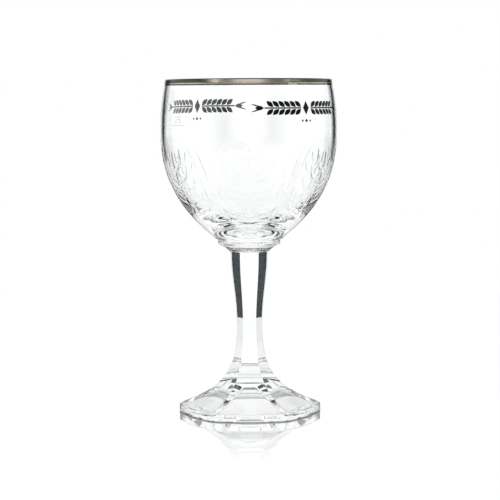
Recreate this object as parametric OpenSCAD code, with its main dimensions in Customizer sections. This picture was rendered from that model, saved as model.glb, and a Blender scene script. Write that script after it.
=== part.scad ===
// Chalice beer glass: a round bowl with a gilt lip, on a collar, a six-sided
// stem and a six-sided foot. The foot stands on z = 0 and the axis is Z.
// One flat side of the stem and foot faces -Y, so two corners lie on the X axis.

/* [Foot] */
// Width of the foot across two opposite corners
foot_d = 75; // [60:0.5:90]
// How far each side of the foot swells out from a straight hexagon side
foot_side_swell = 2.6; // [1:0.1:4]
// How far each corner of the foot is rounded back from its point
foot_corner_back = 0.3; // [0.1:0.05:1]
// Height of the upright edge round the foot
foot_edge_h = 4.3; // [2.5:0.1:6]
// Height of the foot up to where the stem joins it
foot_h = 22; // [16:0.5:28]
// Rise of the foot's upper face at its edge, in degrees
foot_slope = 22; // [14:1:30]
// Width of the flat ring that the foot stands on, at each corner
foot_ring_w = 5.3; // [3:0.1:9]
// Width of the flat top of the six-sided hollow under the foot, across corners
hollow_top_d = 13.6; // [8:0.2:20]
// Rise of the hollow's sides from its edge to that top, in degrees
hollow_slope = 28.4; // [18:0.2:31]

/* [Stem] */
// Height of the stem between the foot and the collar
stem_h = 63.5; // [50:0.5:80]
// Width across corners at the top of the stem
stem_top_d = 19.7; // [16:0.1:21]
// Width across corners at the narrowest place
waist_d = 13.6; // [10:0.1:15]
// Height of the narrowest place above the foot
waist_up = 24; // [16:0.5:30]
// Reach of the curve's upper handle, down from the narrowest place
flare_upper_reach = 28; // [22:0.5:32]
// Reach of the curve's lower handle, in from the edge of the foot
flare_lower_reach = 22; // [16:0.5:26]

/* [Collar] */
// Height of the collar between the stem and the bowl
collar_h = 6.5; // [5:0.1:9]
// Diameter at the top of the collar, under the bowl
collar_d = 33; // [28:0.2:36]
// Height of the collar's upright edge
collar_edge_h = 2.5; // [1.5:0.1:3]
// Diameter at the bottom of the collar, round the stem
collar_neck_d = 20.8; // [20.2:0.1:24]
// Radius of the hollow curve between the edge and the neck
collar_cove_r = 14; // [7:0.5:30]

/* [Bowl] */
// Height of the bowl from its seat on the collar to the lip
bowl_h = 83.85; // [72:0.05:100]
// Outer diameter at the lip
rim_d = 87.4; // [80:0.1:92]
// Outer diameter at the widest place
belly_d = 93.2; // [92.4:0.1:104]
// Distance from the lip down to the widest place
belly_drop = 27.4; // [20:0.1:36]
// Outer diameter at the heel, where the round wall ends
heel_d = 41.2; // [36:0.2:48]
// Height of the heel above the seat
heel_h = 3; // [2:0.1:5]
// Diameter of the flat seat under the bowl
seat_d = 34.6; // [33:0.2:36]
// Wall thickness at the lip
rim_wall = 1.4; // [1:0.1:2.2]
// Wall thickness at the widest place
belly_wall = 2; // [1.4:0.1:3]
// Thickness of the glass under the drink
floor_t = 4.8; // [3:0.1:8]

/* [Gilt lip] */
// Height of the gilt band on the outside of the lip
gilt_h = 2; // [1:0.1:4]
// How far the gilt runs down the inside of the lip
gilt_inner_h = 0.6; // [0.2:0.1:1.5]
// Thickness of the gilt
gilt_t = 0.15; // [0.1:0.05:0.3]

/* [Printed ornament] */
// Height of the printed band's middle line below the lip
print_drop = 14.9; // [13:0.1:18]
// Direction of the front print, in degrees round from the front towards +X
print_azimuth = 39; // [30:1:60]
// Angle that the print covers round the bowl
print_sweep = 70; // [50:1:80]
// Height of the two ears of barley
ear_h = 7; // [5:0.1:9]
// Number of grains along each side of an ear
grain_count = 6; // [4:1:8]
// Thickness of the printed enamel
enamel_t = 0.15; // [0.1:0.05:0.3]

/* [Fill mark] */
// Distance from the lip down to the fill line
fill_drop = 23.55; // [19:0.05:27]
// Direction of the fill mark, in degrees round from the front towards +X
fill_azimuth = -51; // [-70:1:-40]
// Length of the fill line round the bowl
fill_line_len = 11.4; // [6:0.2:16]
// Height of the fill line itself
fill_line_h = 0.5; // [0.3:0.05:0.8]
// Height of the two figures above the line
figure_h = 3.2; // [2:0.1:4]
// Width of the strokes of the figures
figure_stroke = 0.5; // [0.3:0.05:0.7]
// Gap between the line and the figures
figure_gap = 1; // [0.5:0.1:2]

/* [Hidden] */

// Steps on each curved part of an outline, and on the short parts at the lip
curve_steps = 14;
lip_steps = 3;
// Sides that stand for a full circle, on small round dots too
round_steps = 180;
dot_steps = 32;
// One overrun serves all cuts
over = 1;
GLASS = [0.82, 0.90, 0.91, 0.55];
GILT = [0.72, 0.60, 0.36];
ENAMEL = [0.05, 0.06, 0.10];
FROST = [0.93, 0.94, 0.93];

// Heights of the joints, stacked from the table up
collar_z = foot_h + stem_h;
seat_z = collar_z + collar_h;
lip_z = seat_z + bowl_h;
belly_z = lip_z - belly_drop;
fill_z = lip_z - fill_drop;
waist_z = foot_h + waist_up;

// Radii
foot_r = foot_d / 2;
waist_r = waist_d / 2;
belly_r = belly_d / 2;
rim_r = rim_d / 2;
heel_r = heel_d / 2;
lip_r = rim_wall / 2;

// Points on an arc about centre c, from angle a0 to angle a1
function arc(c, r, a0, a1, steps = curve_steps) =
    [for (i = [0:steps]) let (a = a0 + (a1 - a0) * i / steps) c + r * [cos(a), sin(a)]];

// Points on a cubic curve with end points p and s and handles q and t
function bezier(p, q, t, s, steps = curve_steps) =
    [for (i = [0:steps]) let (u = i / steps, v = 1 - u)
        v * v * v * p + 3 * v * v * u * q + 3 * v * u * u * t + u * u * u * s];

// Radius of the arc that leaves an upright tangent and moves in by dr over dz
function wall_arc_r(dr, dz) = (dr * dr + dz * dz) / (2 * dr);

// The swelling sides of the foot are upright arcs about axes behind its centre
point_r = foot_r + foot_corner_back;
foot_side_r = point_r * cos(30) + foot_side_swell;
side_arc_r = wall_arc_r(foot_side_swell, point_r / 2);

// Corner radius and height along the stem and foot, from the top down
foot_corner = [foot_r, foot_edge_h];
slope_way = [cos(foot_slope), -sin(foot_slope)];
stem_taper = [for (i = [0:curve_steps]) let (u = i / curve_steps)
    [waist_r + (stem_top_d / 2 - waist_r) * (1 + cos(180 * u)) / 2,
     collar_z + (waist_z - collar_z) * u]];
flare = bezier([waist_r, waist_z], [waist_r, waist_z - flare_upper_reach],
    foot_corner - flare_lower_reach * slope_way, foot_corner);
corner_line = concat(stem_taper, [for (i = [1:len(flare) - 1]) flare[i]]);
// The same line in the middle of a side. Its last stretch runs on past the swell to the brim.
side_line = [for (p = corner_line) [p.x * cos(30), p.y]];
side_end = side_line[len(side_line) - 1];
side_step = side_end - side_line[len(side_line) - 2];
brim = side_end + (foot_side_swell + foot_corner_back + over) / side_step.x * side_step;

// Angle by which the printed wall reaches below the widest place, seen in its outline
print_low_a = 10;
// Ornament: angles along the print, and shares of the ear's height
print_middle_a = 4;
awn_a = 4;
awn_tilt = 16;
grain_tilt = 40;
grain_steps = 6;
stalk_w = 0.5;
print_gap = 0.15;
grain_length_share = 0.66;
grain_width_share = 0.4;
awn_length_share = 1.2;
lozenge_share = 0.55;
// Three pearls hang under the lozenge
pearl_drop = 6.4;
pearl_d = 1.5;
pearl_pitch_a = 3;
small_pearl_share = 0.7;
// Proportions of the figures, and the angles at which their round strokes start and end
two_round_a = [160, -30];
five_round_a = [140, -130];
figure_width_share = 0.58;
figure_pitch_share = 0.78;
five_round_share = 0.31;
five_lean_share = 0.75;

// Bowl outline: the outer wall from the lip down, then the inner wall back up
outer_upper_r = wall_arc_r(belly_r - rim_r, lip_z - lip_r - belly_z);
outer_upper_c = [belly_r - outer_upper_r, belly_z];
outer_upper_a = asin((lip_z - lip_r - belly_z) / outer_upper_r);
outer_lower_r = wall_arc_r(belly_r - heel_r, belly_z - seat_z - heel_h);
outer_lower_c = [belly_r - outer_lower_r, belly_z];
outer_lower_a = asin((belly_z - seat_z - heel_h) / outer_lower_r);
inner_belly_r = belly_r - belly_wall;
inner_upper_r = wall_arc_r(inner_belly_r - rim_r + rim_wall, lip_z - lip_r - belly_z);
inner_upper_c = [inner_belly_r - inner_upper_r, belly_z];
inner_upper_a = asin((lip_z - lip_r - belly_z) / inner_upper_r);
inner_lower_r = outer_lower_r - belly_wall;
// A round bottom of radius cup_r meets the lower inner wall smoothly
cup_drop = belly_z - seat_z - floor_t;
cup_r = (inner_lower_r * inner_lower_r - outer_lower_c.x * outer_lower_c.x - cup_drop * cup_drop)
    / (2 * (inner_lower_r - cup_drop));
cup_c = [0, seat_z + floor_t + cup_r];
cup_a = atan2(cup_c.y - belly_z, -outer_lower_c.x);

// The outer wall from the widest place up to the gilt, moved out by t
gilt_a = asin((lip_z - gilt_h - belly_z) / outer_upper_r);
function plain_wall(t) = arc(outer_upper_c, outer_upper_r + t, 0, gilt_a);
// All of the wall that can be printed on, which reaches a little below the widest place
function print_wall(t) = concat(
    without_last(arc(outer_lower_c, outer_lower_r + t, -print_low_a, 0, lip_steps)), plain_wall(t));
// The outer wall under the gilt, up to the round of the lip, moved out by t
function gilt_wall(t) = arc(outer_upper_c, outer_upper_r + t, gilt_a, outer_upper_a, lip_steps);
// The round of the lip, from outside to inside, moved out by t
function lip_round(t) = arc([rim_r - lip_r, lip_z - lip_r], lip_r + t, 0, 180);
// The inner wall under the gilt, then the rest of it down to the widest place
inner_gilt_a = asin((lip_z - lip_r - gilt_inner_h - belly_z) / inner_upper_r);
function inner_gilt_wall(t) =
    arc(inner_upper_c, inner_upper_r - t, inner_upper_a, inner_gilt_a, lip_steps);
inner_plain_wall = arc(inner_upper_c, inner_upper_r, inner_gilt_a, 0);

function reversed(list) = [for (i = [len(list) - 1:-1:0]) list[i]];
function without_last(list) = [for (i = [0:len(list) - 2]) list[i]];
function without_first(list) = [for (i = [1:len(list) - 1]) list[i]];

// Two opposite sides of the stem and foot, as one long form across them
module side_pair() {
    half = concat(without_last(side_line), [brim, [brim.x, -over]]);
    last = len(half) - 1;
    rotate([90, 0, 90])
        linear_extrude(2 * foot_d, center = true)
            polygon(concat(half, [for (i = [last:-1:0]) [-half[i].x, half[i].y]]));
}

// The six-sided stem and foot before they are parted
module pedestal() {
    intersection() {
        side_pair();
        rotate([0, 0, 60]) side_pair();
        rotate([0, 0, 120]) side_pair();
    }
}

// The outline of the foot from above, with six swelling sides and round corners
module foot_plan() {
    intersection() {
        upright_round(foot_r);
        intersection_for (i = [0:5])
            rotate([0, 0, 60 * i])
                translate([0, side_arc_r - foot_side_r, 0])
                    upright_round(side_arc_r);
    }
}

// A round block that runs past the foot above and below
module upright_round(r) {
    translate([0, 0, -over]) cylinder(r = r, h = foot_h + 2 * over, $fn = round_steps);
}

// A flat block from height z0 to height z1, wide enough to hold the foot
module slab(z0, z1) {
    translate([-foot_d, -foot_d, z0]) cube([2 * foot_d, 2 * foot_d, z1 - z0]);
}

// The six-sided hollow under the foot: sloping sides and a flat top
module hollow() {
    edge = (foot_r - foot_ring_w) * cos(30);
    top = hollow_top_d / 2 * cos(30);
    height = (edge - top) * tan(hollow_slope);
    intersection_for (i = [0:2])
        rotate([0, 0, 60 * i])
            rotate([90, 0, 90])
                linear_extrude(2 * foot_d, center = true)
                    polygon([[-edge, -over], [edge, -over], [edge, 0], [top, height],
                        [-top, height], [-edge, 0]]);
}

module foot() {
    color(GLASS)
        difference() {
            intersection() {
                pedestal();
                foot_plan();
                slab(0, foot_h);
            }
            hollow();
        }
}

module stem() {
    color(GLASS)
        intersection() {
            pedestal();
            slab(foot_h, collar_z + over);
        }
}

module collar() {
    edge_r = collar_d / 2;
    neck_r = collar_neck_d / 2;
    edge_z = seat_z - collar_edge_h;
    run = edge_r - neck_r;
    fall = edge_z - collar_z;
    chord = norm([run, fall]);
    // The cove is an arc through the lower corner of the edge and the neck
    middle = [neck_r + run / 2, collar_z + fall / 2];
    cove_c = middle + sqrt(collar_cove_r * collar_cove_r - chord * chord / 4)
        * [fall, -run] / chord;
    start = atan2(edge_z - cove_c.y, edge_r - cove_c.x);
    end = atan2(collar_z - cove_c.y, neck_r - cove_c.x);
    color(GLASS)
        rotate_extrude($fn = round_steps)
            polygon(concat([[0, collar_z], [0, seat_z], [edge_r, seat_z]],
                arc(cove_c, collar_cove_r, start, end < start ? end + 360 : end)));
}

module bowl() {
    color(GLASS)
        rotate_extrude($fn = round_steps)
            polygon(concat(
                [[0, seat_z], [seat_d / 2, seat_z]],
                arc(outer_lower_c, outer_lower_r, -outer_lower_a, 0),
                without_first(plain_wall(0)),
                without_first(gilt_wall(0)),
                without_first(lip_round(0)),
                without_first(inner_gilt_wall(0)),
                without_first(inner_plain_wall),
                without_first(arc(outer_lower_c, inner_lower_r, 0, cup_a)),
                without_first(arc(cup_c, cup_r, cup_a, -90))));
}

module gilt_lip() {
    under = concat(gilt_wall(0), without_first(lip_round(0)), without_first(inner_gilt_wall(0)));
    outside = concat(without_last(gilt_wall(gilt_t)), lip_round(gilt_t),
        without_first(inner_gilt_wall(gilt_t)));
    color(GILT)
        rotate_extrude($fn = round_steps)
            polygon(concat(outside, reversed(under)));
}

// Thin coat on the outer wall, kept only where its children reach
module coat(thickness) {
    intersection() {
        rotate_extrude($fn = round_steps)
            polygon(concat(print_wall(thickness), reversed(print_wall(0))));
        children();
    }
}

// Carries a flat figure, drawn in x across and y up, out through the wall at an azimuth
module through_wall(azimuth, z) {
    rotate([0, 0, azimuth])
        translate([0, 0, z])
            rotate([90, 0, 0])
                linear_extrude(belly_d)
                    children();
}

// A level strip round the wall, between two azimuths
module wall_strip(azimuth_0, azimuth_1, z, height) {
    reach = belly_d;
    translate([0, 0, z - height / 2])
        linear_extrude(height)
            polygon(concat([[0, 0]], [for (i = [0:curve_steps])
                let (a = azimuth_0 + (azimuth_1 - azimuth_0) * i / curve_steps)
                reach * [sin(a), -cos(a)]]));
}

// A pointed grain that starts at a point and lies along x, to the right or the left
module grain(length, width, side, start = [0, 0]) {
    rise = [for (i = [0:grain_steps]) let (u = i / grain_steps)
        [side * length * u, width / 2 * sin(180 * u)]];
    fall = [for (i = [grain_steps - 1:-1:1]) [rise[i].x, -rise[i].y]];
    polygon([for (p = concat(rise, fall)) start + p]);
}

// One ear of barley from the middle of the print to its end, to the right or the left.
// Its stalk, grains and awns stand a hair apart, as a printing screen lays them.
module ear(azimuth, side) {
    z = lip_z - print_drop;
    length = ear_h * grain_length_share;
    stalk_a = print_sweep / 2 - awn_a;
    pitch = (stalk_a - print_middle_a) / (grain_count + 1);
    foot_gap = stalk_w / 2 + print_gap;
    coat(enamel_t)
        wall_strip(azimuth + side * print_middle_a, azimuth + side * (stalk_a - pitch / 2),
            z, stalk_w);
    for (i = [0:grain_count - 1])
        for (up = [-1, 1])
            coat(enamel_t)
                through_wall(azimuth + side * (print_middle_a + i * pitch), z + up * foot_gap)
                    rotate(side * up * grain_tilt)
                        grain(length, length * grain_width_share, side);
    coat(enamel_t)
        through_wall(azimuth + side * (stalk_a - pitch / 2), z)
            grain(length, length * grain_width_share, side, [side * print_gap, 0]);
    for (up = [-1, 1])
        coat(enamel_t)
            through_wall(azimuth + side * stalk_a, z + up * foot_gap)
                rotate(side * up * awn_tilt)
                    grain(length * awn_length_share, stalk_w, side);
}

// Two ears back to back with a lozenge between them and three pearls below
module printed_ornament(azimuth) {
    ear(azimuth, 1);
    ear(azimuth, -1);
    coat(enamel_t)
        through_wall(azimuth, lip_z - print_drop)
            polygon(ear_h / 2 * [[0, -1], [lozenge_share, 0], [0, 1], [-lozenge_share, 0]]);
    for (side = [-1, 0, 1])
        coat(enamel_t)
            through_wall(azimuth + side * pearl_pitch_a, lip_z - print_drop - pearl_drop)
                circle(d = side == 0 ? pearl_d : pearl_d * small_pearl_share, $fn = dot_steps);
}

module front_print() {
    color(ENAMEL) printed_ornament(print_azimuth);
}

module back_print() {
    color(ENAMEL) printed_ornament(print_azimuth + 180);
}

module fill_line() {
    half_a = fill_line_len / belly_r * 90 / PI;
    color(FROST)
        coat(enamel_t)
            wall_strip(fill_azimuth - half_a, fill_azimuth + half_a, fill_z, fill_line_h);
}

// A line of even width through points, as one outline with mitred corners
function unit(v) = v / norm(v);
function left_of(v) = [-v.y, v.x];
function mitre(points, i) = let (
        last = len(points) - 1,
        before = left_of(unit(points[max(i, 1)] - points[max(i, 1) - 1])),
        after = left_of(unit(points[min(i, last - 1) + 1] - points[min(i, last - 1)])))
    (before + after) / (1 + before * after);
module line_through(points, width) {
    polygon(concat(
        [for (i = [0:len(points) - 1]) points[i] + width / 2 * mitre(points, i)],
        [for (i = [len(points) - 1:-1:0]) points[i] - width / 2 * mitre(points, i)]));
}

// The figure two, in a box of width w and height h, about x = 0
module figure_two(w, h) {
    r = w / 2;
    line_through(concat(arc([0, h - r], r, two_round_a[0], two_round_a[1]),
        [[-r, 0], [r, 0]]), figure_stroke);
}

// The figure five, in the same box
module figure_five(w, h) {
    r = h * five_round_share;
    line_through(concat([[w / 2, h], [-w / 2 * five_lean_share, h]],
        arc([0, r], r, five_round_a[0], five_round_a[1])), figure_stroke);
}

module fill_figures() {
    w = figure_h * figure_width_share;
    z = fill_z + fill_line_h / 2 + figure_gap;
    color(FROST)
        coat(enamel_t)
            through_wall(fill_azimuth, z) {
                translate([-w * figure_pitch_share, 0]) figure_two(w, figure_h);
                translate([w * figure_pitch_share, 0]) figure_five(w, figure_h);
            }
}

foot();
stem();
collar();
bowl();
gilt_lip();
front_print();
back_print();
fill_line();
fill_figures();
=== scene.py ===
# %% [markdown]
# A chalice for beer, in clear glass: a round bowl with a gilt lip and a moulded relief, on a collar,
# a six-sided stem and a six-sided foot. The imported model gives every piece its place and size. This
# lesson gives the pieces their final shapes and finishes, one cell at a time, and works in metres.

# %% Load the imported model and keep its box
import math

import bmesh
import bpy
import numpy as np
from mathutils import Euler, Matrix, Vector


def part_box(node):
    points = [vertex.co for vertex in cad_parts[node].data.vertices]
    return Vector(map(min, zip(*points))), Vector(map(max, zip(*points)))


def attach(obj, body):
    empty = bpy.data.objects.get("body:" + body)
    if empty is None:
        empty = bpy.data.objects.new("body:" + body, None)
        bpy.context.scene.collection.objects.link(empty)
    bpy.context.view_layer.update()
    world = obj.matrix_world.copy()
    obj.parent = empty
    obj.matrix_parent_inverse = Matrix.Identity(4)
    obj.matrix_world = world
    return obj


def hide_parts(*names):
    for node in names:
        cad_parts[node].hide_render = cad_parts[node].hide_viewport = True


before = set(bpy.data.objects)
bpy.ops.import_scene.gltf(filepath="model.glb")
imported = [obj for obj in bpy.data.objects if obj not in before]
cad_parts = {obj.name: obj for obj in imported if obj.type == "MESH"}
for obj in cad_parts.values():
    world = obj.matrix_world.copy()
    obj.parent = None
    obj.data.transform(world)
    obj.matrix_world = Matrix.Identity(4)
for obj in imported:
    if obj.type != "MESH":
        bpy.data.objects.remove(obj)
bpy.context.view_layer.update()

MM = 0.001
print("nodes:", ", ".join(sorted(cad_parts)))

# %% [markdown]
# The camera comes first, because every later choice is judged through it. It stands a little below
# the lip and a little above the print, so the lip looks nearly straight and the near and far prints are
# seen at nearly one height. A long lens keeps the sides upright. The photograph leans by a quarter of a
# degree and sits a few pixels off the axis of its lens, and so does this camera.

# %% The camera
eye_distance = 890 * MM
eye_height = 164 * MM
eye_side = 0.4 * MM
eye_pitch = math.radians(5.089)
eye_lean = math.radians(0.28)
focal_px = 1689
axis_drop_px = 2.4
photo_px = 500
sensor_w = 36

camera_data = bpy.data.cameras.new("camera")
camera_data.sensor_width = sensor_w
camera_data.lens = sensor_w * focal_px / photo_px
camera_data.shift_y = axis_drop_px / photo_px
camera = bpy.data.objects.new("camera", camera_data)
camera.location = (eye_side, -eye_distance, eye_height)
tilt = Euler((math.pi / 2 - eye_pitch, 0, 0)).to_matrix()
camera.rotation_euler = (tilt @ Matrix.Rotation(-eye_lean, 3, "Z")).to_euler()
bpy.context.scene.collection.objects.link(camera)
bpy.context.scene.camera = camera
print(f"lens {camera_data.lens:.1f} mm at {eye_distance:.3f} m")

# %% [markdown]
# Glass that is blown or pressed in a mould has outlines made of a few arcs, so two small helpers
# draw every outline here: an arc, and a smooth curve with two handles. Points are (radius, height).


# %% Helpers that draw outlines
def arc(centre, radius, start, end, steps):
    """Points on an arc about a centre, from one angle in degrees to another."""
    a = np.radians(np.linspace(start, end, steps + 1))
    return np.stack([centre[0] + radius * np.cos(a), centre[1] + radius * np.sin(a)], 1)


def curve(start, out_handle, in_handle, end, steps):
    """Points on a cubic curve with two handles."""
    u = np.linspace(0, 1, steps + 1)[:, None]
    v = 1 - u
    ends = v**3 * np.array(start) + u**3 * np.array(end)
    return ends + 3 * v * v * u * np.array(out_handle) + 3 * v * u * u * np.array(in_handle)


def wall_arc_r(across, along):
    """The radius of an arc that leaves an upright tangent and moves in by across over along."""
    return (across**2 + along**2) / (2 * across)


def soft_corner(before, corner, after, radius, steps=5):
    """The small arc that rounds the corner of an outline."""
    before, corner, after = (np.array(p, float) for p in (before, corner, after))
    back = (before - corner) / np.linalg.norm(before - corner)
    on = (after - corner) / np.linalg.norm(after - corner)
    half = math.acos(np.clip(back @ on, -1, 1)) / 2
    start = corner + back * radius / math.tan(half)
    end = corner + on * radius / math.tan(half)
    middle = (back + on) / np.linalg.norm(back + on)
    centre = corner + middle * radius / math.sin(half)
    a = start - centre
    b = end - centre
    u = np.linspace(0, 1, steps + 1)[:, None]
    blend = (1 - u) * a + u * b
    return centre + radius * blend / np.linalg.norm(blend, axis=1)[:, None]


print("an arc of 90 degrees and radius 2 has", len(arc((0, 0), 2, 0, 90, 8)), "points")

# %% [markdown]
# Every body of glass here is a skin laid through rows of points that run round the axis. Building
# the faces row by row gives even quads that shade smoothly, and lets a row be round, six-sided or
# anything between. A row of one point closes the skin at the axis. Where a row has twice the points
# of the next, three triangles take the place of each quad.


# %% A helper that lays a skin through rows of points
def skin_faces(rows, ring=False):
    """Faces between neighbouring rows. With ring, the last row joins the first."""
    starts = np.cumsum([0] + [len(row) for row in rows])
    pairs = [(i, i + 1) for i in range(len(rows) - 1)] + ([(len(rows) - 1, 0)] if ring else [])
    bands = []
    for low, high in pairs:
        n = max(len(rows[low]), len(rows[high]))
        here = np.arange(n)
        there = (here + 1) % n
        a, b = starts[low], starts[high]
        if min(len(rows[low]), len(rows[high])) == n // 2 > 1:
            few, many = (a, b) if len(rows[high]) == n else (b, a)
            i = np.arange(n // 2)
            j = (i + 1) % (n // 2)
            fans = [(few + i, many + 2 * i + 1, many + 2 * i), (few + i, few + j, many + 2 * i + 1),
                    (few + j, many + 2 * j, many + 2 * i + 1)]
            band = np.concatenate([np.stack(fan, 1) for fan in fans])
            band = band if few == a else band[:, ::-1]
        elif len(rows[low]) == 1:
            band = np.stack([np.full(n, a), b + there, b + here], 1)
        elif len(rows[high]) == 1:
            band = np.stack([a + here, a + there, np.full(n, b)], 1)
        else:
            band = np.stack([a + here, a + there, b + there, b + here], 1)
        bands.append(band)
    return bands


def make_piece(name, points, faces, materials, slots, sharp=40):
    """A smooth mesh object. Edges that turn by more than sharp degrees stay crisp."""
    mesh = bpy.data.meshes.new(name)
    mesh.from_pydata(np.asarray(points).tolist(), [], faces)
    for material in materials:
        mesh.materials.append(material)
    mesh.polygons.foreach_set("material_index", np.asarray(slots, np.int32))
    mesh.polygons.foreach_set("use_smooth", np.ones(len(faces), bool))
    mesh.set_sharp_from_angle(angle=math.radians(sharp))
    mesh.update()
    piece = bpy.data.objects.new(name, mesh)
    bpy.context.scene.collection.objects.link(piece)
    return piece


def make_skin(name, rows, materials, second=(), third=(), ring=False, sharp=40):
    """A skin of the first material. Bands listed as second and third take the next two."""
    bands = skin_faces(rows, ring)
    faces = [face for band in bands for face in band.tolist()]
    slots = [(i in second) + 2 * (i in third) for i, band in enumerate(bands) for _ in band]
    return make_piece(name, np.concatenate(rows), faces, materials, slots, sharp)


def put(piece, finish_slot, *nodes):
    """The piece rides on the one body and stands for its nodes."""
    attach(piece, "root")
    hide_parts(*nodes)
    print(f"{piece.name}: {len(piece.data.polygons)} faces, stands for {', '.join(nodes)}")


print("a skin from a point to a row of six has", len(skin_faces([[0], [0] * 6])[0]), "faces")

# %% [markdown]
# The glass is plain soda-lime glass with an index of 1.52 and a breath of cool grey. It was pressed
# and blown against a mould, so its skin is not optically flat: a very faint, broad ripple bends
# what is seen through it. The ripple is a bump from noise, a few millimetres long. The bowl, stem and
# foot carry painted shade: their colour turns a dark blue-grey where they turn away.


# %% The clear glass
def principled(name):
    """A new material and its Principled shader."""
    material = bpy.data.materials.new(name)
    material.use_nodes = True
    return material, material.node_tree.nodes["Principled BSDF"]


def noise_bump(material, shader, scale, strength, distance, detail=2):
    """Fine unevenness of the surface, from noise in the object's own space."""
    nodes, links = material.node_tree.nodes, material.node_tree.links
    place = nodes.new("ShaderNodeTexCoord")
    noise = nodes.new("ShaderNodeTexNoise")
    noise.inputs["Scale"].default_value = scale
    noise.inputs["Detail"].default_value = detail
    bump = nodes.new("ShaderNodeBump")
    bump.inputs["Strength"].default_value = strength
    bump.inputs["Distance"].default_value = distance
    links.new(place.outputs["Object"], noise.inputs["Vector"])
    links.new(noise.outputs["Fac"], bump.inputs["Height"])
    links.new(bump.outputs["Normal"], shader.inputs["Normal"])
    return noise


def colour_by_facing(material, shader, stops):
    """A colour that turns from the first stop to the second as the surface turns edge on."""
    nodes, links = material.node_tree.nodes, material.node_tree.links
    facing = nodes.new("ShaderNodeLayerWeight")
    ramp = nodes.new("ShaderNodeValToRGB")
    for stop, (place, colour) in zip(ramp.color_ramp.elements, stops):
        stop.position = place
        stop.color = colour
    links.new(facing.outputs["Facing"], ramp.inputs["Fac"])
    links.new(ramp.outputs["Color"], shader.inputs["Base Color"])


glass_index = 1.52
glass_tint = (0.985, 0.992, 0.992, 1)
# painted shade: the dark blue-grey the glass is given where it turns away
painted_edge_shade = (0.10, 0.14, 0.15, 1)


def clear_glass(name):
    """Polished soda-lime glass."""
    material, shader = principled(name)
    shader.inputs["Base Color"].default_value = glass_tint
    shader.inputs["Roughness"].default_value = 0.0
    shader.inputs["IOR"].default_value = glass_index
    shader.inputs["Transmission Weight"].default_value = 1
    noise_bump(material, shader, scale=90, strength=0.12, distance=0.15 * MM)
    return material, shader


def edge_shaded_glass(name, start, end):
    """The same glass with painted shade: dark blue-grey where the surface is seen edge on."""
    material, shader = clear_glass(name)
    # painted shade: the colour turns from the tint to the painted edge shade towards the outlines
    colour_by_facing(material, shader, ((start, glass_tint), (end, painted_edge_shade)))
    return material


glass, _ = clear_glass("thick_glass")
bowl_glass = edge_shaded_glass("bowl_glass", 0.82, 1.0)
stem_glass = edge_shaded_glass("stem_glass", 0.3, 1.0)
foot_glass = edge_shaded_glass("foot_glass", 0.45, 1.05)
print("made", glass.name, "and its variants for the bowl, stem and foot")

# %% [markdown]
# The bowl, collar, stem and foot are made apart and fused while hot. Where two of them meet there
# is no surface for light to notice. Each piece here is still a closed mesh, and the faces where it
# is fused to its neighbour get a finish of their own that lets light go straight on.


# %% The finish of fused faces
def fused_face():
    """A face that light passes as if it were not there."""
    material = bpy.data.materials.new("fused_face")
    material.use_nodes = True
    nodes = material.node_tree.nodes
    nodes.remove(nodes["Principled BSDF"])
    through = nodes.new("ShaderNodeBsdfTransparent")
    output = nodes["Material Output"]
    material.node_tree.links.new(through.outputs["BSDF"], output.inputs["Surface"])
    return material


fused = fused_face()
print("made", fused.name)

# %% [markdown]
# Stem and foot share one outline down each corner: a gentle taper to the waist, then a long flare.
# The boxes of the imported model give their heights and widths. The smaller sizes were measured in
# the photograph, at the same scale.

# %% The sizes of the stem and foot, from the frame
foot_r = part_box("foot")[1].x
foot_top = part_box("stem")[0].z
collar_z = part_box("collar")[0].z
collar_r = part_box("collar")[1].x
seat_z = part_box("bowl")[0].z
belly_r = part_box("bowl")[1].x
lip_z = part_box("bowl")[1].z

stem_top_r = 9.85 * MM
waist_r = 6.8 * MM
waist_z = foot_top + 24 * MM
edge_h = 4.3 * MM
slope = math.radians(22)
upper_reach = 28 * MM
lower_reach = 22 * MM
foot_swell = 2.6 * MM
print(f"foot {2000 * foot_r:.1f} mm across, bowl {2000 * belly_r:.1f} mm, {1000 * lip_z:.1f} mm high")

# %% [markdown]
# A six-sided mould leaves a hexagon with soft corners. A cylinder of six sides with bevelled edges
# would do for a straight stem, but here the sides swell and the corners soften on the way down. So
# each level is drawn from twelve arcs: six for the corners and six for the sides. Every level has
# the same count of points, which lets the skin run straight from one to the next.

# %% The six-sided section
side_steps = 20
corner_steps = 8
least_swell = 0.0001 * MM


def six_sided(corner_r, swell, rounding):
    """Points round a hexagon with a corner on +X, sides that swell out, and rounded corners."""
    half_side = corner_r / 2
    side_r = wall_arc_r(max(swell, least_swell), half_side)
    behind = corner_r * math.cos(math.pi / 6) + swell - side_r
    across = math.sqrt((side_r - rounding) ** 2 - (behind / 2) ** 2)
    corner_centre = behind * math.cos(math.pi / 6) + across
    meet = math.atan2(corner_centre / 2, corner_centre * math.cos(math.pi / 6) - behind)
    turn = math.degrees(math.pi / 6 - meet)
    corner = arc((corner_centre, 0), rounding, -turn, turn, corner_steps)
    side = arc((behind, 0), side_r, -math.degrees(meet), math.degrees(meet), side_steps)[1:-1]
    points = []
    for i in range(6):
        for outline, angle in ((corner, 60 * i), (side, 60 * i + 30)):
            c, s = math.cos(math.radians(angle)), math.sin(math.radians(angle))
            points.append(outline @ np.array([[c, s], [-s, c]]))
    return np.concatenate(points)


def level(section, z):
    """A flat section put at a height, or at a height for each of its points."""
    return np.column_stack([section, np.broadcast_to(z, len(section))])


print("a section has", len(six_sided(waist_r, 0, least_swell)), "points")

# %% [markdown]
# Seen from the side, a corner of the stem runs in a slow wave from the collar to the waist, and in a
# long flare from there to the edge of the foot. The wave is half a cosine and the flare one cubic
# curve, whose handles set how long the stem stays slim. Both pieces read their radii from this line.

# %% The corner outline of the stem and foot
taper_points = 200
flare_steps = 300


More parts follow.
